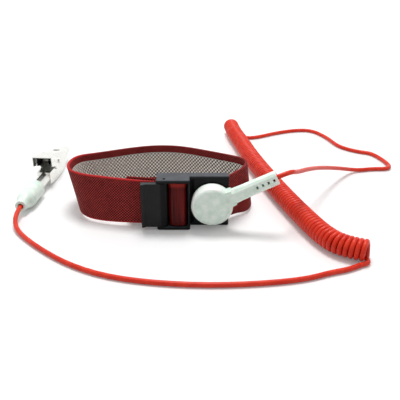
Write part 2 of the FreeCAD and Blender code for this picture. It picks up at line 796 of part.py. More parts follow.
slab(lower, "sleeve_seam", "XY_Plane", "0", "sleeve_radius + 1", cut=True,
     corners=rectangle("clip_rear - 1", "-0.3", "sleeve_end + 1", "0.3"))
slab(lower, "lower_pivot_hole", "XZ_Plane", "-9", "9", cut=True,
     circle=("pivot_u", "pivot_rise", "pivot_radius + fit_gap"))
place_on_plug(lower)

upper = new_body("clip_upper_jaw")
slab(upper, "cover", "XZ_Plane", "-1 * thumb_width / 2", "thumb_width / 2", corners=[
    ("sleeve_end - 1.8", "thumb_rise - 4.6"),
    ("sleeve_end + 4.2", "pivot_rise - 0.4"),
    ("pivot_u - 4", "pivot_rise - 3"),
    ("pivot_u + 4.5", "pivot_rise - 3"),
    ("pivot_u + 4.9", "pivot_rise - 1.3"),
    ("sleeve_end + 21.7", "bite_rise + 0.2 + jaw_gap"),
] + tooth_line(" + jaw_gap")[::-1] + [
    ("clip_tip", "bite_rise + 1.2"),
    ("pivot_u + 7", "pivot_rise + 2.4"),
    ("pivot_u + 1", "pivot_rise + 3.8"),
    ("sleeve_end - 1.8", "thumb_rise + 0.2"),
])
slab(upper, "cover_hollow", "XZ_Plane", "sheet_thick - lever_width / 2", "lever_width / 2 - sheet_thick", cut=True,
     corners=[
         ("sleeve_end - 4", "-9"),
         ("pivot_u + 5", "-9"),
         ("pivot_u + 5", "pivot_rise + 2.15"),
         ("pivot_u + 1", "pivot_rise + 3.1"),
         ("sleeve_end - 1.8", "thumb_rise - 0.5"),
         ("sleeve_end - 4", "thumb_rise"),
     ])
slab(upper, "thumb_hollow", "XZ_Plane", "sheet_thick - thumb_width / 2", "thumb_width / 2 - sheet_thick", cut=True,
     corners=[
         ("sleeve_end - 4", "-9"),
         ("sleeve_end + 0.7", "-9"),
         ("sleeve_end + 0.7", "thumb_rise - 0.95"),
         ("sleeve_end - 1.8", "thumb_rise - 0.5"),
         ("sleeve_end - 4", "thumb_rise"),
     ])
slab(upper, "neck_hollow", "XZ_Plane", "-2.2", "2.2", cut=True, corners=[
    ("pivot_u + 4", "-9"),
    ("pivot_u + 12", "-9"),
    ("pivot_u + 12", "pivot_rise + 0.5"),
    ("pivot_u + 7", "pivot_rise + 1.65"),
    ("pivot_u + 4", "pivot_rise + 2.35"),
])
slab(upper, "nose_hollow", "XZ_Plane", "-0.9", "0.9", cut=True, corners=[
    ("pivot_u + 11", "-9"),
    ("clip_tip - 2.2", "-9"),
    ("clip_tip - 2.2", "bite_rise + 1"),
    ("pivot_u + 11", "pivot_rise + 0.75"),
])
taper(upper, "cover_sides", "thumb_width / 2 - 0.1", "tip_width / 2", "pivot_u + 5", "lever_width / 2")
slab(upper, "nose_hole", "XY_Plane", "3", "12", cut=True, circle=("pivot_u + 9", "0", "1.7"))
slab(upper, "upper_pivot_hole", "XZ_Plane", "-9", "9", cut=True,
     circle=("pivot_u", "pivot_rise", "pivot_radius + fit_gap"))
place_on_plug(upper)

axle = new_body("clip_pivot_pin")
slab(axle, "axle_rod", "XZ_Plane", "-1 * lever_width / 2 - fit_gap", "lever_width / 2 + fit_gap",
     circle=("pivot_u", "pivot_rise", "pivot_radius"))
slab(axle, "left_head", "XZ_Plane", "lever_width / 2 + fit_gap", "lever_width / 2 + fit_gap + 0.5",
     circle=("pivot_u", "pivot_rise", "pivot_radius + 0.5"))
slab(axle, "right_head", "XZ_Plane", "-1 * lever_width / 2 - fit_gap - 0.5", "-1 * lever_width / 2 - fit_gap",
     circle=("pivot_u", "pivot_rise", "pivot_radius + 0.5"))
place_on_plug(axle)

# Elastic band: one strip on its edge, from the rivet round the loop and the bar to its tail

BAND_SHARE = 0.47
WRAP_RADIUS = 1.7
WRAP_CHORDS = 3


def band_outline(level):
    """Corners of the band's middle line at its lower (0) or upper (1) edge, with set radii."""
    half = size("band_thick") / 2
    slot_line = (size("slot_front") + size("slot_back")) / 2
    cam_line = size("pin_y") + size("barrel_radius") + size("side_gap") + half
    tail_line = size("window_back") - size("layer_gap") - half
    wrap_left = size("bar_left") - size("bar_gap") - half
    wrap_right = size("bar_right") + size("bar_gap") + half
    wrap_front = size("bar_front") - size("bar_gap") - half
    right = size("loop_right") - half
    rear = size("loop_rear") - half
    left = half - size("loop_left")
    entry = size("clasp_left") - 1.0
    lean = 1 - level
    return [
        (size("slot_left") + size("base_gap") + 0.4, slot_line, None),
        (size("clasp_right") - 2.15, slot_line, 1.8),
        (right - 7.35 + 0.2 * lean, 8.4 + 0.2 * lean, None),
        (right - 1.65 + 2.3 * lean, 16.6 - 5.0 * lean, None),
        (right + 2.1 * lean, 27.0 - 2.0 * lean, None),
        (right - 12.3, 0.755 * rear, None),
        (right - 28.3, 0.96 * rear, None),
        (right - 39.3, rear, None),
        (right - 50.8, 0.94 * rear, None),
        (left + 11.5 + lean, 0.76 * rear, None),
        (left + 1.2 + 4.2 * lean, 0.67 * rear, None),
        (left + 4.6 * lean, 0.37 * rear, None),
        (left + 6.0 + 2.2 * lean, 8.8 - 2.6 * lean, None),
        (left + 19.0 - 2.0 * lean, 4.3 - 3.2 * lean, None),
        (entry - 5.0, 0.1 - 0.9 * lean, None),
        (entry, cam_line - 1.05, None),
        (size("pin_x") - 1.2, cam_line, None),
        (wrap_left, cam_line, WRAP_RADIUS),
        (wrap_left, wrap_front, WRAP_RADIUS),
        (wrap_right, wrap_front, WRAP_RADIUS),
        (wrap_right, tail_line, WRAP_RADIUS),
        (size("clasp_left") - 0.6, tail_line, 5.0),
        (size("clasp_left") - size("tail_reach"), tail_line + 2.2, None),
    ]


def fillet_path(corners):
    """Plan pieces of a rounded path: lines, arcs, and the folds round the bar as a few chords."""
    points = [Vector(x, y, 0) for x, y, radius in corners]
    pieces = []
    at = points[0]
    for index in range(1, len(points) - 1):
        before, corner, after = points[index - 1:index + 2]
        back = before - corner
        ahead = after - corner
        turn = math.pi - back.getAngle(ahead)
        limit = corner_radius(back.Length, ahead.Length, turn, BAND_SHARE)
        radius = min(corners[index][2] or limit, limit)
        reach = radius * math.tan(turn / 2)
        enter = corner + back.normalize() * reach
        leave = corner + ahead.normalize() * reach
        side = 1.0 if back.cross(ahead).z < 0 else -1.0
        heading = corner - enter
        heading.normalize()
        centre = enter + Vector(-heading.y, heading.x, 0) * radius * side
        pieces.append((at, enter, None, side, False))
        if corners[index][2] == WRAP_RADIUS:
            spin = Rotation(Vector(0, 0, 1), math.degrees(turn) * side / WRAP_CHORDS)
            spot = enter
            for step in range(WRAP_CHORDS):
                turned_spot = centre + spin.multVec(spot - centre)
                pieces.append((spot, turned_spot, centre, side, True))
                spot = turned_spot
        else:
            pieces.append((enter, leave, centre, side, False))
        at = leave
    pieces.append((at, points[-1], None, 1.0, False))
    return pieces


def side_path(pieces, offset, lift):
    """Edges of the path moved to its left by an offset and raised by a function of its place."""
    edges = []
    for start, finish, centre, side, chord in pieces:
        if centre is None:
            heading = finish - start
            heading.normalize()
            move = Vector(-heading.y, heading.x, 0) * offset
            edges.append(Part.LineSegment(lift(start + move), lift(finish + move)).toShape())
            continue
        radius = (start - centre).Length
        scale = (radius - side * offset) / radius
        ends = [centre + (point - centre) * scale for point in (start, finish)]
        if chord:
            edges.append(Part.LineSegment(lift(ends[0]), lift(ends[1])).toShape())
            continue
        middle = (ends[0] - centre) + (ends[1] - centre)
        middle.normalize()
        middle = centre + middle * (radius * scale)
        edges.append(Part.Arc(lift(ends[0]), lift(middle), lift(ends[1])).toShape())
    return edges


def strip(near, far, trim, low, high):
    """Strip between two offsets from the middle line, standing between two heights."""
    slope = (size("mid_height") - size("band_width") / 2) / (size("loop_rear") + 0.3)
    loops = []
    for level, height in ((0, low), (1, high)):
        corners = band_outline((height - size("mid_height")) / size("band_width") + 0.5)
        for end, inner in ((0, 1), (-1, -2)):
            run = Vector(corners[inner][0] - corners[end][0], corners[inner][1] - corners[end][1], 0)
            run = run.normalize() * trim
            corners[end] = (corners[end][0] + run.x, corners[end][1] + run.y, None)

        def lift(point, height=height):
            return Vector(point.x, point.y, height - slope * point.y)

        pieces = fillet_path(corners)
        first = side_path(pieces, near, lift)
        second = side_path(pieces, far, lift)
        cap = Part.LineSegment(first[-1].valueAt(first[-1].LastParameter),
                               second[-1].valueAt(second[-1].LastParameter)).toShape()
        close = Part.LineSegment(second[0].valueAt(second[0].FirstParameter),
                                 first[0].valueAt(first[0].FirstParameter)).toShape()
        loops.append(Part.Wire(Part.__sortEdges__(first + [cap] + second + [close])))
    return Part.makeLoft(loops, True, True)


half_band = size("band_thick") / 2
lining_near = half_band - size("lining_thick") + size("fit_gap")
band_low = size("mid_height") - size("band_width") / 2
band_high = size("mid_height") + size("band_width") / 2
webbing_strip = strip(-half_band, half_band - size("lining_thick"), 0.0, band_low, band_high)
rivet_rod = Part.makeCylinder(size("rivet_bore") + 0.1, size("clasp_depth") * 2,
                              Vector(size("stud_x"), -size("clasp_depth"), size("mid_height")), Vector(0, 1, 0))
keep_shape("band_webbing", webbing_strip.cut(rivet_rod))
lining_low = size("mid_height") - size("lining_width") / 2
lining_high = size("mid_height") + size("lining_width") / 2
lining_strip = strip(lining_near, half_band, 0.8, lining_low, lining_high)
keep_shape("band_lining", lining_strip.cut(rivet_rod))

# Ground cord: a straight lead from the connector, the curls, and a straight lead to the plug

CORD_SIDES = 6
CURL_SIDES = 4
cord_rest = size("cord_radius")
arm_tilt = math.radians(size("arm_angle"))
arm_heading = Vector(math.cos(arm_tilt), 0, math.sin(arm_tilt))
stud_centre = Vector(size("stud_x"), size("base_front") - size("arm_middle"), size("mid_height"))
arm_end = stud_centre + arm_heading * size("arm_reach")
plug_heading = math.radians(size("plug_heading"))
plug_forward = Vector(math.cos(plug_heading), math.sin(plug_heading), 0)
plug_rear = Vector(-size("plug_left"), size("plug_back"), size("boot_radius"))

CURL_AXIS = [
    (21.6, 121.5),
    (22.5, 110.0),
    (25.6, 93.0),
    (29.5, 68.0),
    (34.3, 45.0),
    (39.5, 22.5),
    (45.3, 0.9),
    (52.4, -19.8),
    (58.9, -27.5),
    (65.1, -28.9),
]
REAR_TAIL = 92.5
FRONT_TAIL = 211.0
TAIL_RADIUS = 3.2
TAIL_LEAVE = 1.3
FRONT_RADIUS = 2.6
FRONT_LEAVE = 1.3


def plan_heading(degrees):
    angle = math.radians(degrees)
    return Vector(math.cos(angle), math.sin(angle), 0)


def curl_nodes():
    """Points and headings at every half turn along the curls, left-handed from the rear."""
    centre_height = size("curl_diameter") / 2
    path, _ = rounded_route([Vector(x, y, centre_height) for x, y in CURL_AXIS], 0.47)
    reach = size("curl_radius")
    bends = [edge.curvatureAt((edge.FirstParameter + edge.LastParameter) / 2) for edge in path]
    shares = [edge.Length * (1 - reach * bend) for edge, bend in zip(path, bends)]
    turns = DIMENSIONS["curl_count"]
    pitch = sum(shares) / turns
    found = []
    for step in range(2 * turns + 1):
        wanted = min(step * pitch / 2, sum(shares) - 1e-9)
        index = 0
        while wanted > shares[index]:
            wanted -= shares[index]
            index += 1
        edge = path[index]
        along = wanted / (1 - reach * bends[index])
        spot = edge.getParameterByLength(min(along, edge.Length))
        forward = edge.tangentAt(spot)
        side = Vector(-forward.y, forward.x, 0)
        bend = 0.0
        if bends[index] > 1e-9:
            bend = bends[index] * (1.0 if edge.normalAt(spot).dot(side) > 0 else -1.0)
        phase = -math.pi / 2 - math.pi * step
        rate = -2 * math.pi * (1 - reach * bends[index]) / pitch
        out = side * math.cos(phase) + Vector(0, 0, math.sin(phase))
        swing = side * -math.sin(phase) + Vector(0, 0, math.cos(phase))
        point = edge.valueAt(spot) + out * reach
        heading = forward * (1 - reach * math.cos(phase) * bend) + swing * (reach * rate)
        heading.normalize()
        found.append((point, heading))
    print("curls: %d at a pitch of %.2f" % (turns, pitch))
    return found


def floor_arc(start, heading, turn, radius):
    """Arc on the floor that turns a heading by an angle, positive to the left."""
    side = 1.0 if turn > 0 else -1.0
    centre = start + Vector(-heading.y, heading.x, 0) * (radius * side)
    spin = Rotation(Vector(0, 0, 1), math.degrees(turn))
    half_spin = Rotation(Vector(0, 0, 1), math.degrees(turn) / 2)
    middle = centre + half_spin.multVec(start - centre)
    finish = centre + spin.multVec(start - centre)
    return Part.Arc(start, middle, finish).toShape(), finish, spin.multVec(heading)


def signed_turn(before, after):
    return math.atan2(before.x * after.y - before.y * after.x, before.x * after.x + before.y * after.y)


curls = curl_nodes()
curl_edges = []
for (start, heading), (finish, arrival) in zip(curls, curls[1:]):
    curl_edges += biarc(start, heading, finish, arrival)

tail_run = size("cord_diameter")
first_point, first_heading = curls[0]
arc, tail_spot, tail_heading = floor_arc(first_point - first_heading * TAIL_LEAVE, first_heading * -1.0,
                                         signed_turn(first_heading * -1.0, plan_heading(REAR_TAIL) * -1.0),
                                         TAIL_RADIUS)
rear_meet = tail_spot + tail_heading * tail_run
middle = arc.valueAt((arc.FirstParameter + arc.LastParameter) / 2)
rear_edges = [
    Part.LineSegment(rear_meet, tail_spot).toShape(),
    Part.Arc(tail_spot, middle, first_point - first_heading * TAIL_LEAVE).toShape(),
    Part.LineSegment(first_point - first_heading * TAIL_LEAVE, first_point).toShape(),
]
last_point, last_heading = curls[-1]
leave_spot = last_point + last_heading * FRONT_LEAVE
front_arc, front_spot, front_heading = floor_arc(leave_spot, last_heading,
                                                 signed_turn(last_heading, plan_heading(FRONT_TAIL)), FRONT_RADIUS)
front_meet = front_spot + front_heading * tail_run
front_edges = [
    Part.LineSegment(last_point, leave_spot).toShape(),
    front_arc,
    Part.LineSegment(front_spot, front_meet).toShape(),
]
curl_edges = rear_edges + curl_edges + front_edges
keep_shape("curly_cord", swept("curly_cord", curl_edges, size("cord_diameter"), CURL_SIDES, math.pi / 4))

LEAD_A = [
    (42.5, 4.0, 22.3),
    (48.0, 14.0, 19.4),
    (55.4, 27.0, 15.0),
    (64.6, 41.0, 9.4),
    (73.8, 52.5, 4.3),
    (79.9, 58.0, 1.5),
    (84.7, 58.9, 1.0),
    (90.7, 60.5, 1.0),
    (100.4, 60.5, 1.0),
    (100.8, 69.6, 1.0),
    (96.7, 82.9, 1.0),
    (91.2, 85.0, 1.0),
    (85.0, 89.3, 1.0),
    (80.3, 95.5, 1.0),
    (77.0, 110.6, 1.0),
    (70.3, 123.1, 1.0),
    (60.0, 122.9, 1.0),
    (47.8, 117.6, 1.0),
    (38.9, 111.5, 1.0),
    (31.8, 108.4, 1.0),
]
LEAD_B = [
    (49.0, -38.9, 1.0),
    (40.0, -43.1, 1.0),
    (22.0, -46.1, 1.0),
    (3.0, -46.9, 1.0),
    (-16.0, -44.9, 1.0),
    (-32.0, -40.6, 1.0),
    (-45.5, -33.0, 1.0),
    (-57.5, -22.6, 1.0),
    (-68.2, -11.3, 1.0),
    (-73.4, -3.6, 1.6),
]
lead_a_points = [arm_end - arm_heading * (size("cord_entry") - 0.5), arm_end + arm_heading * 5.4]
lead_a_points += [Vector(*point) for point in LEAD_A]
lead_a_points += [rear_meet - plan_heading(REAR_TAIL) * 5.0, rear_meet]
lead_b_points = [front_meet, front_meet + plan_heading(FRONT_TAIL) * 6.5]
lead_b_points += [Vector(*point) for point in LEAD_B]
lead_b_points += [plug_rear - plug_forward * 5.0, plug_rear + plug_forward * (size("cord_entry") - 0.5)]


def straight_lead(label, points):
    path, radii = rounded_route(points)
    print(label, "radii:", " ".join("%.1f" % radius for radius in radii))
    keep_shape(label, swept(label, path, size("cord_diameter"), CORD_SIDES))


straight_lead("lead_connector_side", lead_a_points)
straight_lead("lead_clip_side", lead_b_points)


def least_gap(edges, diameter, skip):
    """Least clearance between parts of a tube that are further along it than a given length."""
    path = Part.Wire(edges)
    spots = path.discretize(Number=int(path.Length / 0.25))
    step = path.Length / (len(spots) - 1)
    away = int(skip / step)
    cell = 4.0
    grid = {}
    for index, spot in enumerate(spots):
        grid.setdefault((int(spot.x // cell), int(spot.y // cell), int(spot.z // cell)), []).append(index)
    least = 1e9
    for (x, y, z), members in grid.items():
        near = [other for dx in (-1, 0, 1) for dy in (-1, 0, 1) for dz in (-1, 0, 1)
                for other in grid.get((x + dx, y + dy, z + dz), [])]
        for index in members:
            for other in near:
                if other - index > away:
                    least = min(least, (spots[index] - spots[other]).Length)
    return least - diameter


print("curly_cord: least gap to itself %.2f"
      % least_gap(curl_edges, size("cord_diameter"), 2.5 * size("curl_diameter") / 2))

# Torsion spring of the clip, drawn round the pivot and moved with the other plug pieces


def spring_shape():
    reach = size("spring_radius")
    wire = size("spring_wire")
    pitch = size("spring_pitch")
    begin = math.radians(-40)
    finish = math.radians(71 + 2 * 360)
    turns = (finish - begin) / (2 * math.pi)
    count = 10
    found = []
    for step in range(count + 1):
        phase = begin + (finish - begin) * step / count
        across = pitch * (phase - begin) / (2 * math.pi) - pitch * turns / 2
        point = Vector(size("pivot_u") + reach * math.cos(phase), across,
                       size("pivot_rise") + reach * math.sin(phase))
        heading = Vector(-reach * math.sin(phase), pitch / (2 * math.pi), reach * math.cos(phase))
        heading.normalize()
        found.append((point, heading))
    edges = []
    for (start, heading), (end, arrival) in zip(found, found[1:]):
        edges += biarc(start, heading, end, arrival)
    low_point, low_heading = found[0]
    high_point, high_heading = found[-1]
    edges = [Part.LineSegment(low_point - low_heading * 7.9, low_point).toShape()] + edges
    edges.append(Part.LineSegment(high_point, high_point + high_heading * 5.6).toShape())
    return swept("clip_spring", edges, wire, 4)


place_on_plug(keep_shape("clip_spring", spring_shape()))

doc.recompute()
for thing in doc.Objects:
    if "Invalid" in thing.State or "Error" in thing.State:
        raise ValueError("feature failed: " + thing.Label)
os.makedirs("parts", exist_ok=True)
for label, thing in nodes.items():
    shape = thing.Shape
    if shape.isNull() or not shape.isValid() or len(shape.Solids) != 1:
        raise ValueError("bad solid: " + label)
    shape.exportStep("parts/%s.step" % label)
print("sub-parts written:", len(nodes))
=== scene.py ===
import math

import bmesh
import bpy
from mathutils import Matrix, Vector


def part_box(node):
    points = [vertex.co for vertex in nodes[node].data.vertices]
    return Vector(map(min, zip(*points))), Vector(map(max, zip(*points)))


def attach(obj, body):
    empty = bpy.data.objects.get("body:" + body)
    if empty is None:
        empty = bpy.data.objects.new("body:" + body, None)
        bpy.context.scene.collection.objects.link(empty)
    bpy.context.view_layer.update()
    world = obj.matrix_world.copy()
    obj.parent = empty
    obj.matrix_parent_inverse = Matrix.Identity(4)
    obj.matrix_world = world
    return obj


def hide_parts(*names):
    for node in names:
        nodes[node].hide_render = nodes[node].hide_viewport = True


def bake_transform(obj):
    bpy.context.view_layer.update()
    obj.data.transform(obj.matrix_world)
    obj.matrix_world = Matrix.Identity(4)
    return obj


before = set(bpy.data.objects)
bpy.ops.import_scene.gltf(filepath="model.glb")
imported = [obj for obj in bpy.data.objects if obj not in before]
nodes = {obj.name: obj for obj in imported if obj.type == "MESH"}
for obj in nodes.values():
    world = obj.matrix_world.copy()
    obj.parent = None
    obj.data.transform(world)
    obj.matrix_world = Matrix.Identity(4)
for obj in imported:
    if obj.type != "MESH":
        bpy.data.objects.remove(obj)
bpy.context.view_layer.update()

MM = 0.001


def placed(name, data):
    """New object of the scene with the data given."""
    thing = bpy.data.objects.new(name, data)
    bpy.context.scene.collection.objects.link(thing)
    return thing


# Middle of the snap stud, which the connector sits on
stud_low, stud_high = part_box("snap_stud")
stud_x = (stud_low.x + stud_high.x) / 2
stud_height = (stud_low.z + stud_high.z) / 2

# Camera: in front of the clasp and above it, looking down at the strap

CAMERA_PLACE = Vector((2.9, -218.19, 113.38)) * MM
CAMERA_DIP = 25.0
CAMERA_LENS = 52.88
CAMERA_SENSOR = 36.0
CAMERA_NEAR = 0.01
CAMERA_FAR = 20.0


def make_camera():
    data = bpy.data.cameras.new("view")
    data.lens = CAMERA_LENS
    data.sensor_width = CAMERA_SENSOR
    data.clip_start = CAMERA_NEAR
    data.clip_end = CAMERA_FAR
    camera = placed("view", data)
    camera.location = CAMERA_PLACE
    camera.rotation_euler = (math.radians(90 - CAMERA_DIP), 0, 0)
    bpy.context.scene.camera = camera


make_camera()

# Lines, tubes and strips


def curve_points(points, steps):
    """Points in metres along an open NURBS spline whose control points are given in millimetres."""
    data = bpy.data.curves.new("guide", "CURVE")
    data.dimensions = "3D"
    data.resolution_u = steps
    spline = data.splines.new("NURBS")
    spline.points.add(len(points) - 1)
    for target, point in zip(spline.points, points):
        target.co = (*(Vector(point) * MM), 1.0)
    spline.order_u = 3
    spline.use_endpoint_u = True
    curve = placed("guide", data)
    bpy.context.view_layer.update()
    evaluated = curve.evaluated_get(bpy.context.evaluated_depsgraph_get())
    line = bpy.data.meshes.new_from_object(evaluated)
    found = [vertex.co.copy() for vertex in line.vertices]
    bpy.data.objects.remove(curve)
    bpy.data.curves.remove(data)
    bpy.data.meshes.remove(line)
    return found


def distances(line):
    """Distance along a line of points to each of them."""
    found = [0.0]
    for before, after in zip(line, line[1:]):
        found.append(found[-1] + (after - before).length)
    return found


def heading_at(line, index):
    """Direction of a line of points at one of them."""
    return (line[min(index + 1, len(line) - 1)] - line[max(index - 1, 0)]).normalized()


def finished(name, mesh):
    """Mesh object at the origin from a bmesh."""
    data = bpy.data.meshes.new(name)
    mesh.to_mesh(data)
    mesh.free()
    return placed(name, data)


def skin(name, map_name, rings, travelled, around):
    """Closed mesh over rings of points in metres, with places along and around it as its UV map."""
    mesh = bmesh.new()
    layer = mesh.loops.layers.uv.new(map_name)
    rings = [[mesh.verts.new(spot) for spot in ring] for ring in rings]
    count = len(rings[0])
    for index, (near, far) in enumerate(zip(rings, rings[1:])):
        for side in range(count):
            after = (side + 1) % count
            face = mesh.faces.new((near[side], near[after], far[after], far[side]))
            face.smooth = True
            spots = ((index, side), (index, side + 1), (index + 1, side + 1), (index + 1, side))
            for loop, (ring, place) in zip(face.loops, spots):
                loop[layer].uv = (travelled[ring], around[place])
    mesh.faces.new(rings[0][::-1])
    mesh.faces.new(rings[-1])
    bmesh.ops.recalc_face_normals(mesh, faces=mesh.faces)
    return finished(name, mesh)


# Cord: its routes repeat the part's, in millimetres here and scaled once

CORD_DIAMETER = 2.0 * MM
CURL_RADIUS = 3.4
CURL_PITCH = 1.94
CURL_STEPS = 16
AXIS_DETAIL = 40
LEAD_DETAIL = 10
CURL_DETAIL = 3
LEAD_SIDES = 12
CURL_SIDES = 10
CORD_MAP_SCALE = 100
ARM_ANGLE = math.radians(25.6)
ARM_DEPTH = -3.65
ARM_REACH = 28.5
LEAD_INSIDE_ARM = 2.0
LEAD_PAST_ARM = 5.4
LEAD_A = [
    (42.5, 4.0, 22.3),
    (48.0, 14.0, 19.4),
    (55.4, 27.0, 15.0),
    (64.6, 41.0, 9.4),
    (73.8, 52.5, 4.3),
    (79.9, 58.0, 1.5),
    (84.7, 58.9, 1.0),
    (90.7, 60.5, 1.0),
    (100.4, 60.5, 1.0),
    (100.8, 69.6, 1.0),
    (96.7, 82.9, 1.0),
    (91.2, 85.0, 1.0),
    (85.0, 89.3, 1.0),
    (80.3, 95.5, 1.0),
    (77.0, 110.6, 1.0),
    (70.3, 123.1, 1.0),
    (60.0, 122.9, 1.0),
    (47.8, 117.6, 1.0),
    (38.9, 111.5, 1.0),
    (31.8, 108.4, 1.0),
    (27.1, 111.8, 1.0),
]
REAR_TAIL = [
    (26.9, 116.8, 1.0),
    (26.8, 119.3, 1.0),
    (26.3, 121.6, 1.0),
    (24.5, 122.4, 1.0),
    (22.9, 121.8, 1.0),
]
CURL_AXIS = [
    (21.6, 121.5),
    (22.5, 110.0),
    (25.6, 93.0),
    (29.5, 68.0),
    (34.3, 45.0),
    (39.5, 22.5),
    (45.3, 0.9),
    (51.0, -17.2),
    (57.0, -26.0),
    (65.1, -28.9),
]
FRONT_TAIL = [
    (65.1, -30.2, 1.0),
    (64.8, -31.8, 1.0),
    (63.6, -32.6, 1.0),
    (62.0, -33.3, 1.0),
]
LEAD_B = [
    (56.5, -36.6, 1.0),
    (49.0, -38.9, 1.0),
    (40.0, -43.1, 1.0),
    (22.0, -46.1, 1.0),
    (3.0, -46.9, 1.0),
    (-16.0, -44.9, 1.0),
    (-32.0, -40.6, 1.0),
    (-45.5, -33.0, 1.0),
    (-57.5, -22.6, 1.0),
    (-68.2, -11.3, 1.0),
    (-73.4, -3.6, 1.6),
    (-74.6, 4.3, 4.2),
    (-74.0, 11.3, 4.2),
]


def tube(name, line, sides):
    """Closed mesh of the cord along points in metres."""
    radius = CORD_DIAMETER / 2
    turns = [2 * math.pi * side / sides for side in range(sides)]
    across = heading_at(line, 0).cross(Vector((0, 0, 1))).normalized()
    rings = []
    for index, spot in enumerate(line):
        heading = heading_at(line, index)
        across = (across - heading * across.dot(heading)).normalized()
        up = across.cross(heading)
        rings.append([spot + across * (radius * math.cos(turn)) + up * (radius * math.sin(turn))
                      for turn in turns])
    travelled = [distance * CORD_MAP_SCALE for distance in distances(line)]
    return skin(name, "along", rings, travelled, [side / sides for side in range(sides + 1)])


def curl_points():
    """Control points in millimetres of the curls, evenly spaced along a coil that lies on the floor."""
    centre_height = CURL_RADIUS + CORD_DIAMETER / MM / 2
    axis = [(x, y, centre_height) for x, y in CURL_AXIS]
    line = [point / MM for point in curve_points(axis, AXIS_DETAIL)]
    travelled = distances(line)
    count = round(travelled[-1] / CURL_PITCH) * CURL_STEPS
    reach = CURL_RADIUS / math.cos(math.pi / CURL_STEPS)
    found = []
    index = 0
    for step in range(count + 1):
        wanted = travelled[-1] * step / count
        while index < len(line) - 2 and travelled[index + 1] < wanted:
            index += 1
        run = line[index + 1] - line[index]
        forward = run.normalized()
        aside = Vector((-forward.y, forward.x, 0))
        spot = line[index] + run * min(1.0, (wanted - travelled[index]) / run.length)
        phase = -math.pi / 2 - 2 * math.pi * step / CURL_STEPS
        rise = Vector((0, 0, reach * math.sin(phase)))
        found.append(spot + aside * (reach * math.cos(phase)) + rise)
    return found


arm_heading = Vector((math.cos(ARM_ANGLE), 0, math.sin(ARM_ANGLE)))
arm_start = Vector((stud_x, ARM_DEPTH * MM, stud_height)) / MM
arm_end = arm_start + arm_heading * ARM_REACH

route_a = [arm_end - arm_heading * LEAD_INSIDE_ARM, arm_end + arm_heading * LEAD_PAST_ARM]
route_a += LEAD_A + REAR_TAIL[:1]
line_a = curve_points(route_a, LEAD_DETAIL)
lead_a = tube("connector_lead", line_a, LEAD_SIDES)
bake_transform(lead_a)
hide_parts("lead_connector_side")

line_b = curve_points(REAR_TAIL + curl_points() + FRONT_TAIL + LEAD_B, CURL_DETAIL)
curls = tube("curly_lead", line_b, CURL_SIDES)
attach(curls, "cord_set")
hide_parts("curly_cord", "lead_clip_side")

distances(line_a)[-1]
distances(line_b)[-1]

# Elastic band: webbing on its edge round the loop, folded over the clasp's bar, with a lining inside.
# Heights are those at the clasp, and offsets run from the band's middle line towards its inside.

BAND_LOW = 1.5
BAND_HIGH = 20.5
BAND_SLOPE = 0.0318
BAND_DETAIL = 14
OUTER_FACE = -0.75
INNER_FACE = 0.35
WEBBING_ROUNDING = 0.45
WEBBING_ROWS = 12
LINING_LOW = 4.7
LINING_HIGH = 17.3
LINING_BACK = INNER_FACE + 0.04
LINING_FACE = INNER_FACE + 0.4
LINING_ROUNDING = 0.12
LINING_ROWS = 8
LINING_TRIM = 1


def band_corners(lean):
    """Control points of the band's middle line in plan, for its upper (0) or lower (1) edge."""
    return [
        (1.0, 2.65),
        (12.6, 2.65),
        (16.3 + 0.2 * lean, 8.4 + 0.2 * lean),
        (22.0 + 2.3 * lean, 16.6 - 5.0 * lean),
        (23.65 + 2.1 * lean, 27.0 - 2.0 * lean),
        (11.35, 34.8),
        (-4.65, 44.2),
        (-15.65, 46.05),
        (-27.15, 43.3),
        (-43.35 + lean, 35.0),
        (-53.65 + 4.2 * lean, 30.9),
        (-54.85 + 4.6 * lean, 17.0),
        (-48.85 + 2.2 * lean, 8.8 - 2.6 * lean),
        (-35.85 - 2.0 * lean, 4.3 - 3.2 * lean),
        (-20.75, 0.1 - 0.9 * lean),
        (-15.75, -0.75),
        (-12.75, 0.3),
        (-10.1, 0.3),
        (-8.95, -0.9),
        (-8.95, -2.2),
        (-7.95, -3.15),
        (-4.05, -3.15),
        (-3.05, -2.2),
        (-3.05, 1.1),
        (-4.2, 2.1),
        (-11.5, 2.1),
        (-15.35, 2.1),
        (-27.25, 4.3),
    ]


def band_line(lean):
    """Points in millimetres along the band's middle line, at its upper (0) or lower (1) edge."""
    corners = [(x, y, 0) for x, y in band_corners(lean)]
    return [point / MM for point in curve_points(corners, BAND_DETAIL)]


lower_line, upper_line = band_line(1), band_line(0)


def sides_of(line):
    """Direction towards the band's inside at each point of its middle line."""
    headings = [heading_at(line, index) for index in range(len(line))]
    return [Vector((-heading.y, heading.x, 0)) for heading in headings]


def strip(name, section, trim=0):
    """Closed strip along the band, whose section is a loop of (offset, height) in millimetres.

    Trim is the number of points of the band's line that are left off at each end.
    """
    lower, upper = (line[trim:len(line) - trim] for line in (lower_line, upper_line))
    rings = []
    for low, high, low_side, high_side in zip(lower, upper, sides_of(lower), sides_of(upper)):
        ring = []
        for offset, height in section:
            level = (height - BAND_LOW) / (BAND_HIGH - BAND_LOW)
            spot = low.lerp(high, level) + low_side.lerp(high_side, level) * offset
            ring.append(Vector((spot.x, spot.y, height - BAND_SLOPE * spot.y)) * MM)
        rings.append(ring)
    heights = [height for offset, height in section + section[:1]]
    return skin(name, "weave", rings, distances(upper), heights)


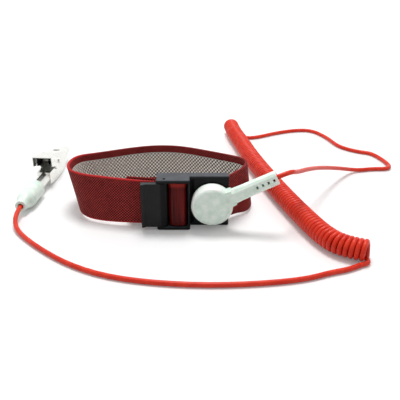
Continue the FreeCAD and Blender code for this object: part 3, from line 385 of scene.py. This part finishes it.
def band_section(low, high, near, far, rounding, rows):
    """Loop of a flat strip with rounded edges, as (offset, height) points."""
    middle, half = (near + far) / 2, (far - near) / 2
    bottom, top = low + rounding, high - rounding
    heights = [bottom + (top - bottom) * row / rows for row in range(rows + 1)]

    def edge(centre, angles):
        turns = [math.radians(angle) for angle in angles]
        return [(middle + half * math.cos(turn), centre + rounding * math.sin(turn))
                for turn in turns]

    return ([(near, height) for height in heights] + edge(top, range(150, 0, -30))
            + [(far, height) for height in reversed(heights)] + edge(bottom, range(330, 180, -30)))


def travel_at(place):
    """Distance along the band's upper edge to its point nearest to a place in plan."""
    gaps = [(point - Vector(place)).length for point in upper_line]
    return distances(upper_line)[gaps.index(min(gaps))]


webbing = strip("elastic_webbing", band_section(
    BAND_LOW, BAND_HIGH, OUTER_FACE, INNER_FACE, WEBBING_ROUNDING, WEBBING_ROWS))
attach(webbing, "wristband")
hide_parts("band_webbing")
lining = strip("conductive_lining", band_section(
    LINING_LOW, LINING_HIGH, LINING_BACK, LINING_FACE, LINING_ROUNDING, LINING_ROWS), LINING_TRIM)
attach(lining, "wristband")
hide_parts("band_lining")

# Materials

MIX_FACTOR, MIX_FIRST, MIX_SECOND, MIX_COLOUR = 0, 6, 7, 2
WHITE = (1.0, 1.0, 1.0, 1.0)
BLACK = (0.0, 0.0, 0.0, 1.0)


class Value:
    """Socket of a node tree. Sums, products and the methods below add Math nodes to the tree."""

    def __init__(self, paint, socket):
        self.paint = paint
        self.socket = socket

    def math(self, operation, *terms):
        return self.paint.node("Math", {"operation": operation}, dict(enumerate(terms)))

    def __add__(self, other):
        return self.math("ADD", self, other)

    def __sub__(self, other):
        return self.math("SUBTRACT", self, other)

    def __rsub__(self, other):
        return self.math("SUBTRACT", other, self)

    def __mul__(self, other):
        return self.math("MULTIPLY", self, other)

    def __truediv__(self, other):
        return self.math("DIVIDE", self, other)

    def __pow__(self, other):
        return self.math("POWER", self, other)

    __radd__ = __add__
    __rmul__ = __mul__

    def sine(self):
        return self.math("SINE", self)

    def size(self):
        return self.math("ABSOLUTE", self)

    def above(self, other):
        """One where the value is greater than the other."""
        return self.math("GREATER_THAN", self, other)

    def most(self, other):
        return self.math("MAXIMUM", self, other)

    def held(self):
        """Value kept between 0 and 1."""
        return self.math("MINIMUM", self, 1.0).most(0.0)

    def past(self, start, rate):
        """Zero up to the start, then rising at the rate to 1."""
        return ((self - start) * rate).held()

    def stretched(self, gain, lift):
        """Value with more contrast, kept between 0 and 1."""
        return (self * gain + lift).held()

    def swing(self, width):
        """Noise moved to lie about zero, with its width scaled."""
        return (self - 0.5) * width


class Paint:
    """Node tree of a material or of the world, and the shader node that its settings go to."""

    def __init__(self, owner, shader, output):
        owner.use_nodes = True
        self.owner = owner
        self.tree = owner.node_tree
        self.tree.nodes.clear()
        self.shader = self.tree.nodes.new("ShaderNode" + shader)
        surface = self.tree.nodes.new("ShaderNode" + output).inputs["Surface"]
        self.tree.links.new(self.shader.outputs[0], surface)

    def feed(self, target, content):
        """Link an input to a value, or write a constant on it."""
        if isinstance(content, Value):
            self.tree.links.new(content.socket, target)
        else:
            target.default_value = content

    def node(self, kind, settings=None, inputs=None, output=0):
        """One output of a new node with its settings and inputs filled in."""
        made = self.tree.nodes.new("ShaderNode" + kind)
        for name, content in (settings or {}).items():
            setattr(made, name, content)
        for key, content in (inputs or {}).items():
            self.feed(made.inputs[key], content)
        return Value(self, made.outputs[output])

    def set(self, **inputs):
        """Feed the shader's inputs, whose names are written with underscores."""
        for name, content in inputs.items():
            self.feed(self.shader.inputs[name.replace("_", " ")], content)

    def place(self):
        return self.node("TexCoord", output="Object")

    def part(self, vector, number):
        """One of the three parts of a vector."""
        return self.node("SeparateXYZ", inputs={0: vector}, output=number)

    def axis(self, number):
        """One part of the place on the piece, in metres."""
        return self.part(self.place(), number)

    def upward(self):
        """How far the surface faces up, from -1 to 1."""
        return self.part(self.node("NewGeometry", output="Normal"), 2)

    def on_band(self):
        """Distance along the band and height on it, in millimetres."""
        spot = self.node("UVMap", {"uv_map": "weave"})
        return self.part(spot, 0), self.part(spot, 1)

    def seen(self):
        """One for what the camera sees, also in a mirror or through glass."""
        camera, glossy, through = (self.node("LightPath", output="Is %s Ray" % name)
                                   for name in ("Camera", "Glossy", "Transmission"))
        return (camera + glossy + through).held()

    def noise(self, scale, detail, roughness=0.5, spot=None):
        return self.node("TexNoise", inputs={"Vector": spot or self.place(), "Scale": scale,
                                             "Detail": detail, "Roughness": roughness})

    def blend(self, factor, first, second):
        """Colour between two others."""
        return self.node("Mix", {"data_type": "RGBA"},
                         {MIX_FACTOR: factor, MIX_FIRST: first, MIX_SECOND: second}, MIX_COLOUR)

    def bump(self, height, depth, strength=1.0):
        return self.node("Bump", inputs={"Height": height, "Distance": depth, "Strength": strength})


def material(name):
    return Paint(bpy.data.materials.new(name), "BsdfPrincipled", "OutputMaterial")


def paint_on(paint, *things):
    """Give a material to pieces and to nodes of the part, which are named."""
    for thing in things:
        piece = nodes[thing] if isinstance(thing, str) else thing
        piece.data.materials.clear()
        piece.data.materials.append(paint.owner)


def shade(red, green, blue):
    """Linear colour from the 0-255 values that a picture shows."""
    found = []
    for part in (red, green, blue):
        part /= 255
        found.append(part / 12.92 if part <= 0.04045 else ((part + 0.055) / 1.055) ** 2.4)
    return (*found, 1.0)


def grey(level):
    return (level, level, level, 1.0)


def knit_rows(along, across, stitch, row):
    """Waves from -1 to 1 of a knit whose stitches are set as bricks are."""
    return (across * (2 * math.pi / row)).sine() * (along * (2 * math.pi / stitch)).sine()


# Webbing: knitted, smooth where it is folded hard over the bar, with a painted highlight along its
# edges and painted highlights on its fold

WEBBING_STITCH = 1.15
KNIT_DEPTH = 0.12 * MM
KNIT_CONTRAST = 3.6
KNIT_LEVEL = 0.13
KNIT_UNEVEN = 1.4
SOIL_SHARE = 0.4
BAND_MIDDLE = (BAND_LOW + BAND_HIGH) / 2
# Painted highlight along the band's edges: strong on the front of the loop, faint at its back
RIM_START = 8.7
RIM_MIDDLE = travel_at((-48.0, 9.0, 0))
RIM_HALF = 24.0
FRONT_RIM_HIGHLIGHT = 0.9
REAR_RIM_HIGHLIGHT = 0.05
FOLD_MIDDLE = travel_at((-6.0, -3.1, 0))
FOLD_HALF = 5.0
FOLD_TOP = 18.2
FOLD_FADE = 0.6
FOLD_PRESSED = 0.95
RIB_ALONG = 1.6
RIB_ACROSS = 0.05
WEBBING_ROUGH = 0.72
FOLD_ROUGH = 0.3
GROUND_YARN = shade(30, 0, 1)
STITCH_YARN = shade(188, 66, 62)
SOILED_YARN = shade(90, 8, 13)
EDGE_HIGHLIGHT = shade(192, 44, 46)
FOLD_DARK = shade(46, 1, 2)
# Painted highlights on the fold: streaks down it, and a line along its top
FOLD_STREAK_HIGHLIGHT = shade(112, 18, 14)
FOLD_TOP_HIGHLIGHT = shade(150, 38, 30)

paint = material("webbing_weave")
along, across = paint.on_band()
fuzz = paint.noise(2200.0, detail=2.0)
uneven = paint.noise(700.0, detail=1.0)
soil = paint.noise(160.0, detail=3.0)
patch = paint.noise(90.0, detail=2.0)
folded = 1.0 - (along - FOLD_MIDDLE).size().past(FOLD_HALF, FOLD_FADE)
front = 1.0 - (along - RIM_MIDDLE).size().past(RIM_HALF, rate=0.08)
# The edges' painted highlight, faded from the front of the loop to its back
rim_highlight = (across - BAND_MIDDLE).size().past(RIM_START, rate=3.0)
rim_highlight = rim_highlight * (front * (FRONT_RIM_HIGHLIGHT - REAR_RIM_HIGHLIGHT) + REAR_RIM_HIGHLIGHT)
knit = knit_rows(along, across, WEBBING_STITCH, WEBBING_STITCH) * (1.0 - folded * FOLD_PRESSED)
knit = knit * patch.stretched(gain=3.0, lift=-0.4) * (uneven.swing(KNIT_UNEVEN) + 1.0)
lit = (knit * KNIT_CONTRAST + KNIT_LEVEL + fuzz.swing(1.2) + uneven.swing(0.8)).held()
base = paint.blend(lit, GROUND_YARN, STITCH_YARN)
base = paint.blend(soil.stretched(gain=1.6, lift=-0.5) * SOIL_SHARE, base, SOILED_YARN)
# The fold's own dark red, with painted highlight streaks down it and a painted highlight along its top
rib_place = paint.node("CombineXYZ", inputs={0: along * RIB_ALONG, 1: across * RIB_ACROSS})
highlight_streaks = paint.noise(1.0, detail=2.0, spot=rib_place)
wrap = paint.blend(highlight_streaks.stretched(gain=2.8, lift=-1.0), FOLD_DARK, FOLD_STREAK_HIGHLIGHT)
wrap = paint.blend(across.past(FOLD_TOP, FOLD_FADE), wrap, FOLD_TOP_HIGHLIGHT)
base = paint.blend(folded, base, wrap)
base = paint.blend(rim_highlight, base, EDGE_HIGHLIGHT)
paint.set(Base_Color=base, Roughness=WEBBING_ROUGH - folded * (WEBBING_ROUGH - FOLD_ROUGH),
          Specular_IOR_Level=0.12, Normal=paint.bump(knit * 0.6 + fuzz * 0.5, KNIT_DEPTH))
paint_on(paint, webbing)

# Lining: silver-grey conductive mesh with painted glints on its dots, whose dots grow stronger from
# left to right

LINING_STITCH = 1.7
LINING_ROW = 1.8
MESH_UNEVEN = 2.6
DOT_RISE = 12.0
WEAKEST_DOTS = 0.15
DARK_FROM = 0.16
LIGHT_FROM = 0.1
DOT_EDGE = 5.0
FUZZ_SWING = 2.6
MESH_DULL = shade(146, 136, 129)
MESH_SILVER = shade(192, 181, 173)
MESH_GLINT = shade(252, 246, 236)
MESH_HOLE = shade(44, 34, 34)

paint = material("lining_mesh")
along, across = paint.on_band()
fuzz = paint.noise(1500.0, detail=2.0)
uneven = paint.noise(420.0, detail=1.0)
patch = paint.noise(70.0, detail=2.0)
strong = (paint.axis(0) * DOT_RISE + patch * 1.2 + 0.25).held() * (1.0 - WEAKEST_DOTS) + WEAKEST_DOTS
knit = knit_rows(along, across, LINING_STITCH, LINING_ROW) * strong
knit = knit * (uneven.swing(MESH_UNEVEN) + 1.0)
# Painted glints, near-white, where the knit's waves are lowest
light = ((knit + LIGHT_FROM) * -DOT_EDGE + fuzz.swing(FUZZ_SWING)).held()
dark = ((knit - DARK_FROM) * DOT_EDGE + fuzz.swing(FUZZ_SWING)).held()
base = paint.blend(fuzz.stretched(gain=1.6, lift=-0.3), MESH_DULL, MESH_SILVER)
base = paint.blend(light, base, MESH_GLINT)
base = paint.blend(dark, base, MESH_HOLE)
paint.set(Base_Color=base, Roughness=0.6, Metallic=0.1,
          Normal=paint.bump(knit * -0.6 + fuzz * 0.4, KNIT_DEPTH))
paint_on(paint, lining)

# Black moulded plastic of the clasp, and grey plastic of its lever, whose hub is painted black as shade

PLASTIC_BLACK = shade(3, 5, 6)
PLASTIC_CHARCOAL = shade(15, 18, 20)
LEVER_DARK = shade(26, 27, 27)
LEVER_GREY = shade(38, 39, 39)
TOP_SHEEN = shade(104, 108, 116)
SHEEN_FROM = 0.6
# Where the lever's painted shade starts, along x
LEVER_SHADE_START = -13.2 * MM


def moulded(name, piece, dull, bright, rough, sheen_share, shade_start=None):
    """Plastic with a painted sheen where it faces up, and painted black as shade from the shade's start
    on.
    """
    paint = material(name)
    grain = paint.noise(5200.0, detail=2.0)
    cloud = paint.noise(220.0, detail=3.0)
    base = paint.blend(cloud.stretched(gain=1.5, lift=-0.4), dull, bright)
    # Painted shade: black from the lever's hub on, where its hinge lies in shade
    if shade_start is not None:
        base = paint.blend(paint.axis(0).past(shade_start, rate=2500.0), base, PLASTIC_BLACK)
    # Painted sheen, lighter bluish grey, on faces that look up
    sheen = (paint.upward() - SHEEN_FROM).held() * (cloud * 2.0 + 1.0) * sheen_share
    paint.set(Base_Color=paint.blend(sheen, base, TOP_SHEEN), Specular_IOR_Level=0.14,
              Roughness=grain.swing(0.12) + rough, Normal=paint.bump(grain, 0.02 * MM, 0.6))
    paint_on(paint, piece)


moulded("clasp_plastic", "clasp_frame", PLASTIC_BLACK, PLASTIC_CHARCOAL, rough=0.36, sheen_share=0.5)
moulded("lever_plastic", "clasp_lever", LEVER_DARK, LEVER_GREY, rough=0.45, sheen_share=0.2,
        shade_start=LEVER_SHADE_START)

# White plastic of the connector and the plug's boot, with a painted highlight on the upper left of the
# connector disc's rim

DISC_RADIUS = stud_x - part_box("connector_shell")[0].x
RIM_INSET = 0.4 * MM
RIM_WIDTH = 0.7 * MM
PLASTIC_PALE = shade(212, 234, 219)
PLASTIC_WHITE = shade(240, 253, 244)
PLASTIC_HIGHLIGHT = shade(252, 255, 250)

paint = material("white_plastic")
grain = paint.noise(2800.0, detail=2.0)
cloud = paint.noise(420.0, detail=3.0, roughness=0.6)
aside = paint.axis(0) - stud_x
height = paint.axis(2) - stud_height
away = (aside ** 2.0 + height ** 2.0) ** 0.5
# Painted highlight: a thin ring on the disc's rim, on its upper left only
rim_highlight = (RIM_WIDTH - (away - (DISC_RADIUS - RIM_INSET)).size()).past(0.0, rate=2500.0)
upper_left = (height - aside).past(0.0, rate=200.0)
base = paint.blend(cloud.stretched(gain=2.4, lift=-0.7), PLASTIC_PALE, PLASTIC_WHITE)
paint.set(Base_Color=paint.blend(rim_highlight * upper_left, base, PLASTIC_HIGHLIGHT),
          Roughness=cloud.swing(0.2) + 0.36, Normal=paint.bump(grain + cloud * 2.0, 0.03 * MM, 0.7),
          Subsurface_Weight=0.08, Subsurface_Scale=1.0 * MM)
paint_on(paint, "connector_shell", "connector_cap", "plug_boot")

# Metals. The clip's cover has painted shade, black, on its inner faces and in its nose's hole. Its
# measures are in millimetres, along the clip from the place where the cord enters the boot, aside from
# the clip's middle, and up.

PLUG_PLACE = Vector((-74.2, 9.3, 4.2)) * MM
PLUG_HEADING = math.radians(85.3)
COVER_REAR_END = 34.05
REAR_WALL = 4.45
NOSE_WALL = 3.6
CEILING_START = 31.55
CEILING_HEIGHT = 10.2
CEILING_SLOPE = 0.178
HOLLOW_END = 49.4
NOSE_HOLE_PLACE = 53.05
NOSE_HOLE_RADIUS = 1.8
SHADE_EDGE = 8.0
STEEL_DULL = shade(216, 216, 210)
STEEL_BRIGHT = shade(242, 242, 238)
# Painted shade in the clip's hollow
HOLLOW_SHADE = shade(10, 8, 6)


def cover_inside(paint):
    """One on the inner faces of the clip's cover and in the hole of its nose, where shade is painted.
    """
    ahead, back, up = (paint.axis(number) - PLUG_PLACE[number] for number in range(3))
    along = (ahead * math.cos(PLUG_HEADING) + back * math.sin(PLUG_HEADING)) / MM
    aside = (back * math.cos(PLUG_HEADING) - ahead * math.sin(PLUG_HEADING)).size() / MM
    wall = (COVER_REAR_END - along).above(0.0) * (REAR_WALL - NOSE_WALL) + NOSE_WALL
    ceiling = CEILING_HEIGHT - (along - CEILING_START) * CEILING_SLOPE
    from_hole = ((along - NOSE_HOLE_PLACE) ** 2.0 + aside ** 2.0) ** 0.5
    depths = (wall - aside, ceiling - up / MM, HOLLOW_END - along, NOSE_HOLE_RADIUS - from_hole)
    between_walls, below_ceiling, behind_nose, hole = (
        depth.past(0.0, SHADE_EDGE) for depth in depths)
    return (between_walls * below_ceiling * behind_nose).most(hole)


def metal(name, dull, bright, rough, *pieces, painted_shade=None):
    """Metal clouded between two brightnesses, with painted shade, black, where the shade function given
    says so.
    """
    paint = material(name)
    cloud = paint.noise(700.0, detail=4.0, roughness=0.6)
    grain = paint.noise(4200.0, detail=2.0)
    base = paint.blend(cloud.stretched(gain=1.6, lift=-0.3), dull, bright)
    shine = 1.0
    if painted_shade is not None:
        black = painted_shade(paint)
        base = paint.blend(black, base, HOLLOW_SHADE)
        shine = 1.0 - black
    paint.set(Base_Color=base, Metallic=shine, Roughness=cloud.swing(0.2) + rough,
              Normal=paint.bump(grain, 0.01 * MM, 0.5))
    paint_on(paint, *pieces)


metal("bright_steel", STEEL_DULL, STEEL_BRIGHT, 0.3, "clip_lower_jaw", "clip_pivot_pin")
metal("cover_steel", STEEL_DULL, STEEL_BRIGHT, 0.3, "clip_upper_jaw", painted_shade=cover_inside)
metal("brushed_steel", shade(150, 150, 152), shade(190, 191, 193), 0.32,
      "contact_plate", "snap_spring")
# Painted shade: the lever's pin darkens its hole, and the clip's spring sits in the clip's hollow
metal("steel_in_painted_shade", shade(28, 27, 26), shade(70, 68, 66), 0.4, "lever_pin", "clip_spring")
metal("nickel", shade(170, 166, 158), shade(212, 209, 203), 0.25,
      "snap_stud", "stud_rivet", "snap_socket", "banana_leaves")
metal("plug_nickel", shade(232, 234, 234), shade(250, 250, 250), 0.3, "banana_pin")

# Cord jacket and resistor

JACKET_RED = shade(204, 36, 18)
JACKET_ORANGE = shade(230, 66, 40)
RESISTOR_BLUE = shade(60, 120, 160)
RESISTOR_PALE = shade(110, 165, 195)

paint = material("cord_jacket")
cloud = paint.noise(300.0, detail=3.0)
grain = paint.noise(3600.0, detail=2.0)
base = paint.blend(cloud.stretched(gain=1.6, lift=-0.3), JACKET_RED, JACKET_ORANGE)
paint.set(Base_Color=base, Roughness=cloud.swing(0.15) + 0.34, Specular_IOR_Level=0.22,
          Subsurface_Weight=0.06, Subsurface_Scale=1.0 * MM,
          Normal=paint.bump(grain, 0.01 * MM, 0.5))
paint_on(paint, lead_a, curls)

paint = material("resistor_body")
cloud = paint.noise(500.0, detail=3.0)
paint.set(Base_Color=paint.blend(cloud, RESISTOR_BLUE, RESISTOR_PALE), Roughness=0.4)
paint_on(paint, "resistor")

# Floor: pale paper that keeps the strap's shadow. Its glow, which only the camera sees, grows away
# from the strap until the paper is white.

FLOOR_HALF = 4.0
FLOOR_DROP = 0.05 * MM
PAPER_GREY = grey(0.8)
NEAR_GLOW = grey(0.12)
GLOW_START = 0.25

floor_mesh = bmesh.new()
bmesh.ops.create_grid(floor_mesh, x_segments=1, y_segments=1, size=FLOOR_HALF)
floor = finished("floor", floor_mesh)
floor.location = (0, 0, -FLOOR_DROP)
paint = material("floor_paper")
away = (paint.axis(0) ** 2.0 + paint.axis(1) ** 2.0) ** 0.5
glow = paint.blend(away.past(GLOW_START, rate=4.0), NEAR_GLOW, WHITE)
paint.set(Base_Color=PAPER_GREY, Roughness=0.3, Specular_IOR_Level=0.4, Emission_Strength=1.0,
          Emission_Color=paint.blend(paint.seen(), BLACK, glow))
paint_on(paint, floor)

# Studio: white to the camera, and a soft light from above and behind for everything else

SKY_LEVEL = 0.45
SKY_ABOVE = 0.25
SKY_BEHIND = 0.2

paint = Paint(bpy.data.worlds.new("studio"), "Background", "OutputWorld")
bpy.context.scene.world = paint.owner
direction = paint.node("TexCoord", output="Generated")
behind, above = paint.part(direction, 1), paint.part(direction, 2)
level = (above * SKY_ABOVE + behind * SKY_BEHIND + SKY_LEVEL).held()
seen = paint.seen()
paint.set(Color=WHITE, Strength=level * (1.0 - seen) + seen)


def lamp(name, place, target, width, power):
    """Round area light that faces its target."""
    data = bpy.data.lights.new(name, "AREA")
    data.shape = "DISK"
    data.size = width
    data.energy = power
    light = placed(name, data)
    light.location = place
    light.rotation_euler = (Vector(target) - Vector(place)).to_track_quat("-Z", "Y").to_euler()


# High behind the strap, so that the shadows fall towards the camera
lamp("key", place=(-0.02, 0.28, 0.95), target=(0, 0.03, 0), width=0.36, power=7.0)

bpy.context.scene.view_settings.view_transform = "Standard"
